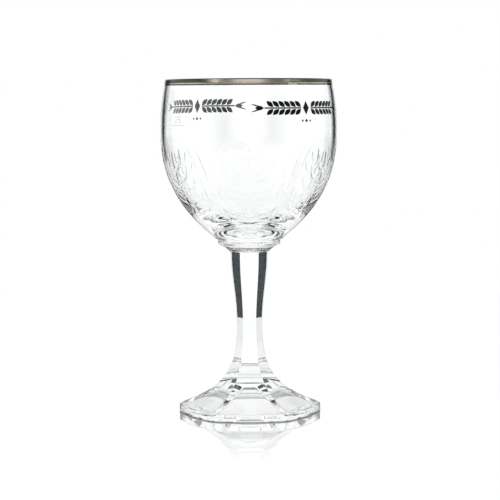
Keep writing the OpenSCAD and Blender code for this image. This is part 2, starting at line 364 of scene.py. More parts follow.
def corner_outline(z_low, z_high, steps):
    """Corner radius at evenly spread heights, read from the taper and the flare."""
    u = np.linspace(0, 1, taper_points)
    taper_r = waist_r + (stem_top_r - waist_r) * (1 + np.cos(np.pi * u)) / 2
    taper = np.stack([taper_r, collar_z + (waist_z - collar_z) * u], 1)
    way = np.array([math.cos(slope), -math.sin(slope)])
    corner = np.array([foot_r, edge_h])
    handle = corner - lower_reach * way
    flare = curve((waist_r, waist_z), (waist_r, waist_z - upper_reach), handle, corner, flare_steps)
    line = np.concatenate([taper, flare[1:]])[::-1]
    z = np.linspace(z_low, z_high, steps + 1)
    return np.interp(z, line[:, 1], line[:, 0]), z


stem_corner_soft = 0.35 * MM
foot_corner_soft = 8 * MM
swell_from_r = 18 * MM


def pedestal_section(corner_r):
    """The section where the corners stand at corner_r: sharper and straighter up the stem."""
    share = np.clip((corner_r - swell_from_r) / (foot_r - swell_from_r), 0, 1)
    rounding = stem_corner_soft + (foot_corner_soft - stem_corner_soft) * share**5
    return six_sided(corner_r, foot_swell * share**2, rounding)


print(f"the flare begins {1000 * (waist_z - foot_top):.0f} mm above the foot")

# %% [markdown]
# The stem is a plain run of these sections. Just under the collar the real one shows a hairline
# where the hot pieces were pressed together, so a groove a few hundredths deep runs round it.

# %% The stem
weld_drop = 3 * MM
weld_depth = 0.03 * MM
weld_half_h = 0.25 * MM
weld_from, weld_to = 4 * MM, 1.5 * MM
stem_steps, weld_levels, line_steps = 110, 40, 400

heights = corner_outline(foot_top, collar_z, stem_steps)[1]
weld_heights = np.linspace(collar_z - weld_from, collar_z - weld_to, weld_levels)
heights = np.unique(np.concatenate([heights, weld_heights]))
line_r, line_z = corner_outline(foot_top, collar_z, line_steps)
radii = np.interp(heights, line_z, line_r)
radii = radii - weld_depth * np.exp(-(((heights - collar_z + weld_drop) / weld_half_h) ** 2))
rows = [level(pedestal_section(r), z) for r, z in zip(radii, heights)]
rows = [np.array([[0, 0, foot_top]])] + rows + [np.array([[0, 0, collar_z]])]
stem = make_skin("glass_stem", rows, [stem_glass, fused], second=(0, len(rows) - 2))
put(stem, "clear_glass", "stem")

# %% [markdown]
# The foot goes on from the stem with the same outline, down to an upright edge of even height. The
# edges are fire-polished, so each is a small arc. Underneath, the plunger of the mould has left a
# six-sided hollow with sloping sides and a flat top. It is what draws the bright trapezium that
# shows through the front of the foot. The glass stands on the flat ring round the hollow.

# %% The hollow under the foot
ring_w = 5.3 * MM
hollow_slope = math.radians(28.4)
hollow_top_r = 6.8 * MM
hollow_top_soft = 0.5 * MM
hollow_edge_soft = 0.4 * MM
hollow_corner_soft = 1.2 * MM
hollow_corner_share = 0.4
hollow_middle_share = 0.1
hollow_flat_levels = 6
hollow_side_levels = 30
hollow_top_steps, hollow_edge_steps = 8, 6

hollow_r = foot_r - ring_w
hollow_h = (hollow_r - hollow_top_r) * math.cos(math.pi / 6) * math.tan(hollow_slope)


def hollow_outline():
    """Corner radius and height of the underside, from the middle of the flat top outwards."""
    top, edge, ring = (hollow_top_r, hollow_h), (hollow_r, 0), (foot_r, 0)
    upper = soft_corner((0, hollow_h), top, edge, hollow_top_soft, hollow_top_steps)
    lower = soft_corner(top, edge, ring, hollow_edge_soft, hollow_edge_steps)
    middle = (hollow_middle_share * hollow_top_r, hollow_h)
    flat = np.linspace(middle, upper[0], hollow_flat_levels)[:-1]
    side = np.linspace(upper[-1], lower[0], hollow_side_levels)[1:-1]
    return np.concatenate([flat, upper, side, lower])


print(f"the hollow is {1000 * hollow_h:.1f} mm high")

# %% [markdown]
# The lower edge was ground so that the glass doesn't rock, and ground glass is dull. Its dark grey is
# painted shade: it draws the thin dark line where the foot meets the table. It is the same glass with
# a rough skin, so its finish is the clear one made rougher, half of it opaque and dark.


# %% The ground line round the base
def ground_glass_with_shade():
    """Glass that was ground flat and wiped clean: dull, and painted dark grey as shade where it meets the
    table.
    """
    material, shader = principled("ground_glass_with_shade")
    # painted shade: the dark grey of the contact line; the roughness is the real ground finish
    shader.inputs["Base Color"].default_value = (0.16, 0.18, 0.19, 1)
    shader.inputs["Roughness"].default_value = 0.35
    shader.inputs["IOR"].default_value = glass_index
    shader.inputs["Transmission Weight"].default_value = 0.5
    noise_bump(material, shader, scale=1500, strength=0.3, distance=0.02 * MM)
    return material


foot_finishes = [foot_glass, fused, ground_glass_with_shade()]
print("the foot has", len(foot_finishes), "finishes")

# %% [markdown]
# The foot is one closed skin. It starts in the middle of the hollow, runs out over the ring, round
# the soft lower edge and up the side, and climbs the flare to the face where the stem is fused.

# %% The foot
edge_soft = 0.7 * MM
base_soft = 0.5 * MM
corner_trim = 0.25 * MM
shoulder_w = 1.2 * MM
flare_levels = 60
side_levels = 6
base_steps, edge_steps = 6, 8
point_r = foot_r + corner_trim

rows = [np.array([[0, 0, hollow_h]])]
for r, z in hollow_outline():
    rows.append(level(six_sided(r, 0, min(hollow_corner_soft, hollow_corner_share * r)), z))
edge_section = six_sided(point_r, foot_swell, foot_corner_soft)
edge_way = edge_section / np.linalg.norm(edge_section, axis=1)[:, None]
base = arc((-base_soft, base_soft), base_soft, -90, 0, base_steps)
# the ground bands of the edge, which carry the painted shade of the contact line
ground_and_shade_bands = range(len(rows), len(rows) + len(base) - 1)
flare_start = (-math.cos(slope), edge_h + math.sin(slope))
upper = soft_corner((0, 0), (0, edge_h), flare_start, edge_soft, edge_steps)
side = np.linspace(base[-1], upper[0], side_levels)[1:-1]
for inset, z in np.concatenate([base, side, upper]):
    rows.append(level(edge_section + edge_way * inset, z))
for r, z in zip(*corner_outline(edge_h, foot_top, flare_levels)):
    if r < foot_r - shoulder_w:
        rows.append(level(pedestal_section(r), z))
rows.append(np.array([[0, 0, foot_top]]))
foot = make_skin("glass_foot", rows, foot_finishes, second=(len(rows) - 2,), third=ground_and_shade_bands)
put(foot, "clear_glass", "foot")

# %% [markdown]
# The collar is the round button between stem and bowl. Its underside carries the stem's six-sided
# end, fused, and a narrow ring of free glass round it. A hollow curve, an arc through two points that
# are known, rises from there to an upright edge.

# %% The collar
neck_r = 10.4 * MM
collar_edge_h = 2.5 * MM
cove_r = 14 * MM
collar_soft = 1.1 * MM
cove_steps = 16

edge_z = seat_z - collar_edge_h
run, fall = collar_r - neck_r, edge_z - collar_z
chord = math.hypot(run, fall)
back = math.sqrt(cove_r**2 - chord**2 / 4) / chord
cove_centre = (neck_r + run / 2 + back * fall, collar_z + fall / 2 - back * run)
cove_start = math.degrees(math.atan2(collar_z - cove_centre[1], neck_r - cove_centre[0]))
cove_end = math.degrees(math.atan2(edge_z - cove_centre[1], collar_r - cove_centre[0]))
cove = arc(cove_centre, cove_r, cove_start, cove_end, cove_steps)
lower_edge = soft_corner(cove[-3], cove[-1], (collar_r, seat_z), collar_soft)
upper_edge = soft_corner((collar_r, edge_z), (collar_r, seat_z), (0, seat_z), collar_soft)
outline = np.concatenate([cove[:-2], lower_edge, upper_edge])

stem_end = pedestal_section(stem_top_r)
way = stem_end / np.linalg.norm(stem_end, axis=1)[:, None]
rows = [np.array([[0, 0, collar_z]]), level(stem_end, collar_z)]
rows += [level(way * r, z) for r, z in outline]
rows.append(np.array([[0, 0, seat_z]]))
collar = make_skin("glass_collar", rows, [glass, fused], second=(0, len(rows) - 2))
put(collar, "clear_glass", "collar")

# %% [markdown]
# The bowl is turned from four large arcs, two outside and two inside, that meet at the belly. The
# wall thins from there to a round lip, and thickens below to a solid floor. Its outline comes first,
# because the relief and the prints follow it.

# %% The outline of the bowl
rim_r = 43.7 * MM
belly_z = lip_z - 27.4 * MM
heel_r = 20.6 * MM
heel_h = 3 * MM
seat_r = 17.3 * MM
rim_wall = 1.4 * MM
belly_wall = 2 * MM
floor_t = 4.8 * MM
seat_soft = 1.5 * MM
wall_steps, upper_steps, lip_steps = 100, 12, 12
inner_upper_steps, inner_lower_steps, cup_steps = 10, 12, 18
lip_r = rim_wall / 2
heel_z = seat_z + heel_h

upper_h = lip_z - lip_r - belly_z
outer_upper_r = wall_arc_r(belly_r - rim_r, upper_h)
outer_lower_r = wall_arc_r(belly_r - heel_r, belly_z - heel_z)
outer_upper_c = (belly_r - outer_upper_r, belly_z)
outer_lower_c = (belly_r - outer_lower_r, belly_z)
outer_upper_a = math.degrees(math.asin(upper_h / outer_upper_r))
outer_lower_a = math.degrees(math.asin((belly_z - heel_z) / outer_lower_r))

inner_belly_r = belly_r - belly_wall
inner_upper_r = wall_arc_r(inner_belly_r - rim_r + rim_wall, upper_h)
inner_upper_c = (inner_belly_r - inner_upper_r, belly_z)
inner_upper_a = math.degrees(math.asin(upper_h / inner_upper_r))
inner_lower_r = outer_lower_r - belly_wall
cup_drop = belly_z - seat_z - floor_t
cup_r = inner_lower_r**2 - outer_lower_c[0] ** 2 - cup_drop**2
cup_r = cup_r / (2 * (inner_lower_r - cup_drop))
cup_c = (0, seat_z + floor_t + cup_r)
cup_a = math.degrees(math.atan2(cup_c[1] - belly_z, -outer_lower_c[0]))

lower_wall = arc(outer_lower_c, outer_lower_r, -outer_lower_a, 0, wall_steps)
upper_wall = arc(outer_upper_c, outer_upper_r, 0, outer_upper_a, upper_steps)[1:]
lip = arc((rim_r - lip_r, lip_z - lip_r), lip_r, 0, 180, lip_steps)[1:]
inner_upper = arc(inner_upper_c, inner_upper_r, inner_upper_a, 0, inner_upper_steps)[1:]
inner_lower = arc(outer_lower_c, inner_lower_r, 0, cup_a, inner_lower_steps)[1:]
cup = arc(cup_c, cup_r, cup_a, -90, cup_steps)[1:-1]
print(f"the outer wall has {len(lower_wall)} rows below the belly and {len(upper_wall)} above")

# %% [markdown]
# The lower half of the bowl carries a relief that was cut into the mould: six broad leaves, each with
# a rib, five veins to each side and a margin, a stock ornament of pressed glass. To bend light as the
# real thing does, it has to be real geometry, with steep sides that turn the light far enough to look
# dark. A leaf's strokes are drawn once, for its right half, as (angle from the rib, share of the
# height). Each vein leaves the rib upwards, sweeps out and turns up again at its tip, in a long S.

# %% The strokes of one leaf
vein_roots = (0.17, 0.27, 0.38, 0.50, 0.62)
vein_tips = ((24, 0.40), (23, 0.53), (19, 0.65), (13.5, 0.75), (7.5, 0.82))
vein_start_share = 0.04
vein_out_shares = (0.10, 0.60)
vein_back_shares = (0.98, 0.12)
rib_points = ((0, 0.13), (0, 0.3), (0, 0.6), (0, 0.86))
margin_points = ((5, 0.13), (31, 0.22), (31, 0.62), (15, 0.9))
vein_w = 0.6 * MM
margin_w = 0.66 * MM
rib_steps, margin_steps, vein_steps = 12, 30, 24


def leaf_strokes():
    """(points, widest half-width) of the rib, the veins and the margin, in the leaf's own shares."""
    strokes = [(curve(*rib_points, rib_steps), vein_w)]
    strokes.append((curve(*margin_points, margin_steps), margin_w))
    for root, tip in zip(vein_roots, vein_tips):
        reach = np.array([tip[0], tip[1] - root])
        start = (vein_start_share * tip[0], root)
        out, back = (np.array([0, root]) + reach * share for share in (vein_out_shares, vein_back_shares))
        strokes.append((curve(start, out, back, tip, vein_steps), vein_w))
    return strokes


print(len(leaf_strokes()), "strokes to each half of a leaf")

# %% [markdown]
# A ridge is as high as its distance to the stroke allows: full along the middle, and down to nothing
# over a narrow edge. Working that out on a grid costs little and needs no booleans, which would leave
# ragged faces in a thin wall. The left half of a leaf mirrors the right, and the other five leaves
# are copies. Towards the heel the relief fades out, and the heel stays plain.

# %% The height of one stroke
edge_w = 0.45 * MM
taper_power = 0.6


def stroke_height(x, y, line, half_width):
    """Height from 0 to 1 of a ridge that thins out to its ends, at each point of a grid."""
    best = np.zeros_like(x)
    for i in range(len(line) - 1):
        a, b = line[i], line[i + 1]
        d = b - a
        u = np.clip(((x - a[0]) * d[0] + (y - a[1]) * d[1]) / (d @ d), 0, 1)
        away = np.hypot(x - a[0] - u * d[0], y - a[1] - u * d[1])
        along = (i + u) / (len(line) - 1)
        width = half_width * np.sin(np.pi * np.clip(along, 0, 1)) ** taper_power
        rise = np.clip((width - away) / edge_w + 0.5, 0, 1)
        thin = np.clip(2 * width / edge_w, 0, 1)
        best = np.maximum(best, thin * rise * rise * (3 - 2 * rise))
    return best


middle_height = stroke_height(np.zeros(1), np.zeros(1), np.array([[-MM, 0], [MM, 0]]), vein_w)[0]
print(f"at its middle a stroke has {middle_height:.0%} of its height")

# %% The relief of the whole bowl
around = 360
fine_around = 2 * around
leaf_halves = 12
relief_h = 0.27 * MM
relief_from, relief_full = 0.12, 0.4


def relief(wall):
    """Height of the relief at each row of the wall and each of the points round it."""
    step = np.linalg.norm(np.diff(wall, axis=0), axis=1)
    up = np.concatenate([[0], np.cumsum(step)])
    share = up / up[-1]
    angle = np.linspace(0, 360 / leaf_halves, fine_around // leaf_halves + 1)
    x = wall[:, :1] * np.radians(angle)[None, :]
    y = np.repeat(up[:, None], len(angle), 1)
    height = np.zeros_like(x)
    for line, half_width in leaf_strokes():
        line_r = np.interp(line[:, 1], share, wall[:, 0])
        line_y = line[:, 1] * up[-1]
        line_x = line_r * np.radians(line[:, 0])
        flat = np.stack([line_x, line_y], 1)
        height = np.maximum(height, stroke_height(x, y, flat, half_width))
    whole = np.concatenate([height, height[:, -2:0:-1]], 1)
    fade = np.clip((share - relief_from) / (relief_full - relief_from), 0, 1)[:, None]
    return relief_h * fade * np.tile(whole, (1, leaf_halves // 2))


heights = relief(lower_wall)
print(f"relief {1000 * heights.max():.2f} mm high on a grid of {heights.shape}")

# %% [markdown]
# The bowl is one skin again, from the face fused to the collar, up the relief, over the lip and down
# the inside. Only the rows with the relief are fine. The others have half as many points.

# %% The bowl
front = -math.pi / 2
azimuths = front + 2 * np.pi * np.arange(around) / around


def round_row(r, z):
    """A row of points round the axis, with a radius and a height for all or for each."""
    r = np.asarray(r) * np.ones(np.size(r) if np.size(r) > 1 else around)
    turn = front + 2 * np.pi * np.arange(len(r)) / len(r)
    return level(np.stack([r * np.cos(turn), r * np.sin(turn)], 1), z)


seat_edge = soft_corner((0, seat_z), (seat_r, seat_z), (heel_r, heel_z), seat_soft)
rows = [np.array([[0, 0, seat_z]]), round_row(collar_r, seat_z)]
rows += [round_row(r, z) for r, z in seat_edge]
rows += [round_row(r + h, z) for (r, z), h in zip(lower_wall, heights)]
rest = np.concatenate([upper_wall, lip, inner_upper, inner_lower, cup])
rows += [round_row(r, z) for r, z in rest]
rows.append(np.array([[0, 0, seat_z + floor_t]]))
bowl = make_skin("glass_bowl", rows, [bowl_glass, fused], second=(0,))
put(bowl, "clear_glass", "bowl")

# %% [markdown]
# The lip carries a line of metal lustre: a thin gold film, painted by hand on a turntable and
# fired. Seen straight on it is a pale bronze. Towards a glancing angle Layer Weight turns it a dark
# olive, a painted reflection of the dark parts of the room. Inside the glass the film is a flat pale
# colour, painted light, down to a dark line at its lower edge. Its edges wander by a hair.

# %% The gold lustre
lustre_rough = 0.22
pale_bronze = (0.58, 0.52, 0.42, 1)
# painted reflection: the dark olive that stands for the dark parts of the room at glancing angles
painted_dark_reflection = (0.075, 0.075, 0.048, 1)


def gold_lustre():
    """The film on the outside, with a painted dark reflection where it is seen at a glancing angle."""
    material, shader = principled("gold_lustre")
    shader.inputs["Metallic"].default_value = 1
    shader.inputs["Roughness"].default_value = lustre_rough
    # painted reflection: pale bronze straight on, painted dark olive towards glancing angles
    colour_by_facing(material, shader, ((0.06, pale_bronze), (0.16, painted_dark_reflection)))
    noise_bump(material, shader, scale=900, strength=0.15, distance=0.03 * MM)
    return material


def inner_lustre(name, colour):
    """The film on the inside of the lip, painted one flat colour that shows from every side."""
    material, shader = principled(name)
    shader.inputs["Metallic"].default_value = 1
    shader.inputs["Roughness"].default_value = lustre_rough
    shader.inputs["Base Color"].default_value = colour
    return material


# painted light: inside, the film is a flat pale copy painted as lit, with a near-black band at its lower
# edge
gilt_finishes = [gold_lustre(), inner_lustre("dark_lustre", (0.10, 0.10, 0.095, 1)),
                 inner_lustre("painted_lit_lustre", (0.90, 0.84, 0.76, 1))]
print("the gilt has", len(gilt_finishes), "finishes")

# %% [markdown]
# The gilt is a closed ring: a line just outside the glass, from its lower edge over the lip and down
# inside, and back along a line just inside the glass. The bands of the ring that lie within the bowl
# take the two inner finishes.

# %% The gilt
gilt_h = 2 * MM
gilt_inner_h = 2.8 * MM
gilt_out = 0.06 * MM
gilt_in = -0.03 * MM
wander_h = 0.05 * MM
wander_waves = ((3, 1, 1), (7, 1, 0), (19, 0.6, 0))
outside_steps, inside_steps = 5, 3


def gilt_line(out):
    """The outline of the gilt, moved out from the glass."""
    from_a = math.degrees(math.asin((lip_z - gilt_h - belly_z) / outer_upper_r))
    outside = arc(outer_upper_c, outer_upper_r + out, from_a, outer_upper_a, outside_steps)
    over = arc((rim_r - lip_r, lip_z - lip_r), lip_r + out, 0, 180, lip_steps)[1:]
    to_h = lip_z - lip_r - gilt_inner_h - belly_z
    to_a = math.degrees(math.asin(to_h / inner_upper_r))
    inside = arc(inner_upper_c, inner_upper_r - out, inner_upper_a, to_a, inside_steps)[1:]
    return np.concatenate([outside, over, inside])


inner_from = outside_steps + lip_steps
edge_band = inner_from + inside_steps
dark_bands = range(edge_band - 1, edge_band + 2)
# painted light: the inner bands above the dark edge take the pale lit copy of the film
painted_lit_bands = set(range(inner_from, edge_band + inside_steps + 1)) - set(dark_bands)
wander = sum(share * np.sin(count * azimuths + start) for count, share, start in wander_waves)
outline = np.concatenate([gilt_line(gilt_out), gilt_line(gilt_in)[::-1]])
rows = []
for i, (r, z) in enumerate(outline):
    edge = i in (0, len(outline) - 1)
    rows.append(round_row(r, z + wander_h * wander * edge))
gilt = make_skin("gilt_band", rows, gilt_finishes, dark_bands, painted_lit_bands, ring=True, sharp=60)
put(gilt, "gilt", "gilt_lip")

# %% [markdown]
# The print and the fill mark are enamels, screened on and fired. Every stroke of theirs is a thin
# patch that follows the wall, sunk a hair into the glass, so that it is also seen from behind. Real
# patches take the light at their edges and stay sharp from close by, which a painted image doesn't.


# %% Helpers that lay strokes on the wall
def wall_radius(z):
    """Radius of the plain outer wall at a height."""
    centre, r = (outer_upper_c, outer_upper_r) if z >= belly_z else (outer_lower_c, outer_lower_r)
    return centre[0] + math.sqrt(r**2 - (z - belly_z) ** 2)


def on_wall(x, y, azimuth, z, out):
    """The point of the wall that lies x across and y up from a place on it."""
    r = wall_radius(z + y)
    turn = math.radians(azimuth) + math.asin(x / r)
    return [(r + out) * math.sin(turn), -(r + out) * math.cos(turn), z + y]


def mitres(points):
    """At each point of a line, the vector to its left edge at half-width one."""
    way = np.diff(points, axis=0)
    way /= np.linalg.norm(way, axis=1)[:, None]
    left = np.stack([-way[:, 1], way[:, 0]], 1)
    before = np.concatenate([left[:1], left])
    after = np.concatenate([left, left[-1:]])
    return (before + after) / (1 + np.sum(before * after, axis=1))[:, None]


across_steps = 4
hair = 0.001 * MM


def stroke_patch(points, half_widths, azimuth, z, out=0.05 * MM, sunk=0.03 * MM):
    """(vertices, faces) of a closed patch along a line drawn on the wall."""
    points = np.asarray(points, float)
    side = mitres(points) * np.asarray(half_widths, float)[:, None]
    shares = np.linspace(-1, 1, across_steps + 1)
    flat = points[:, None, :] + side[:, None, :] * shares[None, :, None]
    flat = flat.reshape(-1, 2)
    top = [on_wall(x, y, azimuth, z, out) for x, y in flat]
    under = [on_wall(x, y, azimuth, z, -sunk) for x, y in flat]
    n, w = len(points), across_steps + 1
    faces = []
    for i in range(n - 1):
        for j in range(w - 1):
            a = i * w + j
            quad = [a, a + 1, a + w + 1, a + w]
            faces.append(quad[::-1])
            faces.append([q + n * w for q in quad])
    rim = list(range(w)) + [i * w + w - 1 for i in range(1, n)]
    rim += [(n - 1) * w + j for j in range(w - 2, -1, -1)] + [i * w for i in range(n - 2, 0, -1)]
    for a, b in zip(rim, rim[1:] + rim[:1]):
        faces.append([a, b, b + n * w, a + n * w])
    return top + under, faces


def join_patches(name, patches, material):
    """All patches of a print as one mesh, with points that fall together merged."""
    points, faces = [], []
    for patch_points, patch_faces in patches:
        faces += [[q + len(points) for q in face] for face in patch_faces]
        points += patch_points
    piece = make_piece(name, points, faces, [material], [0] * len(faces))
    shape = bmesh.new()
    shape.from_mesh(piece.data)
    bmesh.ops.remove_doubles(shape, verts=shape.verts, dist=2 * hair)
    bmesh.ops.recalc_face_normals(shape, faces=shape.faces)
    shape.to_mesh(piece.data)
    shape.free()
    return piece


print(f"the wall stands {1000 * wall_radius(belly_z):.1f} mm from the axis at the belly")

# %% [markdown]
# Enamel is coloured glass powder, so it dries to a hard, slightly uneven gloss. The dark one is
# nearly black with a breath of blue. The pale one is a light grey, hardly seen against the light.


# %% The enamels
def enamel(name, colour, roughness):
    """A fired enamel: a hard gloss with the fine unevenness of a screen print."""
    material, shader = principled(name)
    shader.inputs["Base Color"].default_value = (*colour, 1)
    shader.inputs["Roughness"].default_value = roughness
    shader.inputs["Specular IOR Level"].default_value = 0.1
    noise_bump(material, shader, scale=2500, strength=0.2, distance=0.02 * MM)
    return material


dark_enamel = enamel("dark_enamel", (0.004, 0.006, 0.010), 0.35)
pale_enamel = enamel("pale_enamel", (0.72, 0.75, 0.75), 0.5)
print("made", dark_enamel.name, "and", pale_enamel.name)

# %% [markdown]
# Each print has two ears of barley back to back, with a lozenge and three pearls between them. A
# grain is a straight stroke that swells and thins, so one function draws grains, end grain and awns.
# The same print stands on opposite sides of the bowl.

# %% The printed ears
print_z = lip_z - 14.9 * MM
print_azimuth = 39
print_sweep = 70
ear_h = 7 * MM
grain_count = 6
middle_a = 4
awn_a = 4
awn_tilt = 16
grain_tilt = 40
grain_len_share = 0.66
grain_w_share = 0.5
awn_len_share = 1.2
stalk_steps = 24
grain_points, lozenge_points, pearl_points = 15, 17, 13
lozenge_w_share = 0.55
stalk_w = 0.7 * MM
print_gap = 0.15 * MM
pearl_drop = 6.4 * MM
pearl_d = 1.5 * MM
pearl_pitch_a = 3
pearl_shares = ((-1, 0.7), (0, 1), (1, 0.7))


def turned(points, degrees, start=(0, 0)):
    """Points turned about the origin and then moved to start."""
    c, s = math.cos(math.radians(degrees)), math.sin(math.radians(degrees))
    return np.asarray(points) @ np.array([[c, s], [-s, c]]) + np.array(start)


def grain_patch(length, width, side, turn, azimuth, z, start=(0, 0)):
    """A pointed grain that starts at a place on the wall."""
    u = np.linspace(0, 1, grain_points)
    line = turned(np.stack([side * length * u, 0 * u], 1), turn, start)
    return stroke_patch(line, width / 2 * np.sin(np.pi * u) + hair, azimuth, z)


def ear_patches(azimuth, side):
    """One ear from the middle of the print to its end: stalk, grains, end grain and awns."""
    length = grain_len_share * ear_h
    width = grain_w_share * length
    stalk_a = print_sweep / 2 - awn_a
    pitch = (stalk_a - middle_a) / (grain_count + 1)
    gap = stalk_w / 2 + print_gap
    stalk_r = wall_radius(print_z)
    from_a, to_a = side * middle_a, side * (stalk_a - pitch / 2)
    step = (to_a - from_a) / stalk_steps
    x = stalk_r * math.sin(math.radians(step))
    line = [(0, 0), (x / 2, 0), (x, 0)]
    patches = []
    for i in range(stalk_steps):
        place = azimuth + from_a + i * step
        patches.append(stroke_patch(line, [stalk_w / 2] * len(line), place, print_z))
    for i in range(grain_count):
        for up in (-1, 1):
            place = azimuth + side * (middle_a + i * pitch)
            turn = side * up * grain_tilt
            patches.append(grain_patch(length, width, side, turn, place, print_z + up * gap))
    place = azimuth + side * (stalk_a - pitch / 2)
    patches.append(grain_patch(length, width, side, 0, place, print_z, (side * print_gap, 0)))
    for up in (-1, 1):
        place = azimuth + side * stalk_a
        turn = side * up * awn_tilt
        awn_len = awn_len_share * length
        patches.append(grain_patch(awn_len, stalk_w, side, turn, place, print_z + up * gap))
    return patches


def middle_patches(azimuth):
    """The lozenge and the three pearls."""
    u = np.linspace(0, 1, lozenge_points)
    line = np.stack([0 * u, ear_h * (u - 0.5)], 1)
    wide = lozenge_w_share * ear_h / 2 * (1 - abs(2 * u - 1)) + hair
    patches = [stroke_patch(line, wide, azimuth, print_z)]
    for side, size in pearl_shares:
        r = size * pearl_d / 2
        a = np.linspace(0, math.pi, pearl_points)
        line = np.stack([0 * a, -r * np.cos(a)], 1)
        place = azimuth + side * pearl_pitch_a
        patches.append(stroke_patch(line, r * np.sin(a) + hair, place, print_z - pearl_drop))
    return patches


for name, azimuth, node in (
    ("front_ears", print_azimuth, "front_print"),
    ("back_ears", print_azimuth + 180, "back_print"),
):
    patches = ear_patches(azimuth, 1) + ear_patches(azimuth, -1) + middle_patches(azimuth)
    put(join_patches(name, patches, dark_enamel), "dark_enamel", node)

# %% [markdown]
# The fill mark tells how much the glass holds up to its line: a short level line in the pale enamel,
# with the figures of the measure above it. The figures are strokes of even width, as in plain
# lettering, so the helper that draws the grains draws them too. The bow of a figure is given as
# its start and end in degrees and its count of steps.

# %% The fill mark
fill_z = lip_z - 23.55 * MM
fill_azimuth = -51
fill_len = 11.4 * MM
fill_h = 0.5 * MM
figure_h = 3.2 * MM
figure_stroke = 0.5 * MM
figure_gap = 1 * MM
figure_w = 0.58 * figure_h
figure_step = 0.78 * figure_w
five_r = 0.31 * figure_h
five_left_share = 0.75
fill_points = 40
two_bow = (160, -30, 20)
five_bow = (140, -130, 24)

across = np.linspace(-fill_len / 2, fill_len / 2, fill_points)
line = np.stack([across, 0 * across], 1)
mark = stroke_patch(line, [fill_h / 2] * len(line), fill_azimuth, fill_z)
put(join_patches("fill_stroke", [mark], pale_enamel), "pale_enamel", "fill_line")

half_w = figure_w / 2
two = np.concatenate([arc((0, figure_h - half_w), half_w, *two_bow), [[-half_w, 0], [half_w, 0]]])
five = [[half_w, figure_h], [-five_left_share * half_w, figure_h]]
five = np.concatenate([five, arc((0, five_r), five_r, *five_bow)])
figures = []
for side, line in ((-1, two), (1, five)):
    line = line + np.array([side * figure_step, 0])
    widths = [figure_stroke / 2] * len(line)
    figures.append(stroke_patch(line, widths, fill_azimuth, fill_z + fill_h / 2 + figure_gap))
put(join_patches("fill_numbers", figures, pale_enamel), "pale_enamel", "fill_figures")

# %% [markdown]
# Clear glass is lit by its surroundings. A white field behind it shows through the thin walls, and
# dark gaps between the white fields draw its edges, with softer ones in front for the light that
# turns back. A few small dark cards draw single lines in the foot. This is the bright-field way to
# photograph glass: white behind and below, and a dim room above and in front, so that the outside of
# the glass mirrors little and its dark lines stay dark. The world asks each ray what it is: the camera
# and plain surfaces see an even white room, and light in glass sees the fields, gaps and cards.


# %% Helpers that join shader nodes
def math_node(tree, operation, first, second=None):
    """A Math node. An input is a socket or a number."""
    node = tree.nodes.new("ShaderNodeMath")
    node.operation = operation
    for socket, value in zip(node.inputs, (first, second)):
        if isinstance(value, bpy.types.NodeSocket):
            tree.links.new(value, socket)
        elif value is not None:
            socket.default_value = value
    return node.outputs["Value"]


def between(tree, value, start, end, low=0.0, high=1.0, smooth=False):
    """From low to high while the value goes from start to end."""
    node = tree.nodes.new("ShaderNodeMapRange")
    node.interpolation_type = "SMOOTHSTEP" if smooth else "LINEAR"
    tree.links.new(value, node.inputs["Value"])
    for name, number in (("From Min", start), ("From Max", end), ("To Min", low), ("To Max", high)):
        node.inputs[name].default_value = number
    return node.outputs["Result"]


def mix_colours(tree, share, first, second):
    """A mix of two colours. Each is a socket or four numbers."""
    node = tree.nodes.new("ShaderNodeMix")
    node.data_type = "RGBA"
    tree.links.new(share, node.inputs["Factor"])
    for name, value in (("A", first), ("B", second)):
        if isinstance(value, bpy.types.NodeSocket):
            tree.links.new(value, node.inputs[name])
        else:
            node.inputs[name].default_value = value
    return node.outputs["Result"]


def grey(value):
    """A neutral colour."""
    return (value, value, value, 1)


def ray_kinds(tree):
    """Shares that are 1 for a ray from the camera, for a mirrored one and for a refracted one."""
    rays = tree.nodes.new("ShaderNodeLightPath")
    refracted = rays.outputs["Is Transmission Ray"]
    not_refracted = math_node(tree, "SUBTRACT", 1, refracted)
    mirrored = math_node(tree, "MULTIPLY", rays.outputs["Is Glossy Ray"], not_refracted)
    return rays.outputs["Is Camera Ray"], mirrored, refracted


print("plain white here is", grey(1))

# %% [markdown]
# Angles are counted from straight behind the glass, in degrees, the same to both sides. A gap is
# (start, end, softness at its start, softness at its end), and a card is (heights, turns), where
# each four numbers say where it begins, is full, begins to end and ends. Heights are the upward
# share of a ray's direction.

# %% The fields, gaps and cards
gaps = ((24, 43, 7, 2),)
front_soft = 12
haze_level = 0.98
gap_colour = (0.005, 0.016, 0.022, 1)
field_level = 1.07
plain_light = (0.75, 0.76, 0.77, 1)
sky_z = (0.17, 0.27)
ground_z = (-0.12, -0.16)
cards = (
    ((0.50, 0.51, 0.78, 0.80), (17, 18, 22, 23)),
    ((0.15, 0.16, 0.32, 0.34), (24, 25, 42, 44)),
    ((0.47, 0.49, 0.60, 0.62), (24, 25, 40, 42)),
    ((0.12, 0.13, 0.16, 0.17), (-2, -1, 14, 16)),
    ((0.895, 0.905, 0.95, 0.96), (-2, -1, 181, 182)),
    ((0.62, 0.63, 0.72, 0.73), (30, 31, 50, 52)),
)
field_turn = math.radians(0.7)
front_turn = (98, 112)
front_card = (152, 164)
room_level = 0.25
room_up_z = (0.50, 0.65)
room_down_z = (-0.02, -0.07)
print(len(gaps), "dark gap and", len(cards), "cards on each side")


# %% Helpers that draw the fields, gaps and cards
def window(tree, value, start, full, still, end):
    """A share that is 1 from full to still and fades out to start and end."""
    rise = between(tree, value, start, full)
    return math_node(tree, "MULTIPLY", rise, between(tree, value, still, end, 1, 0))


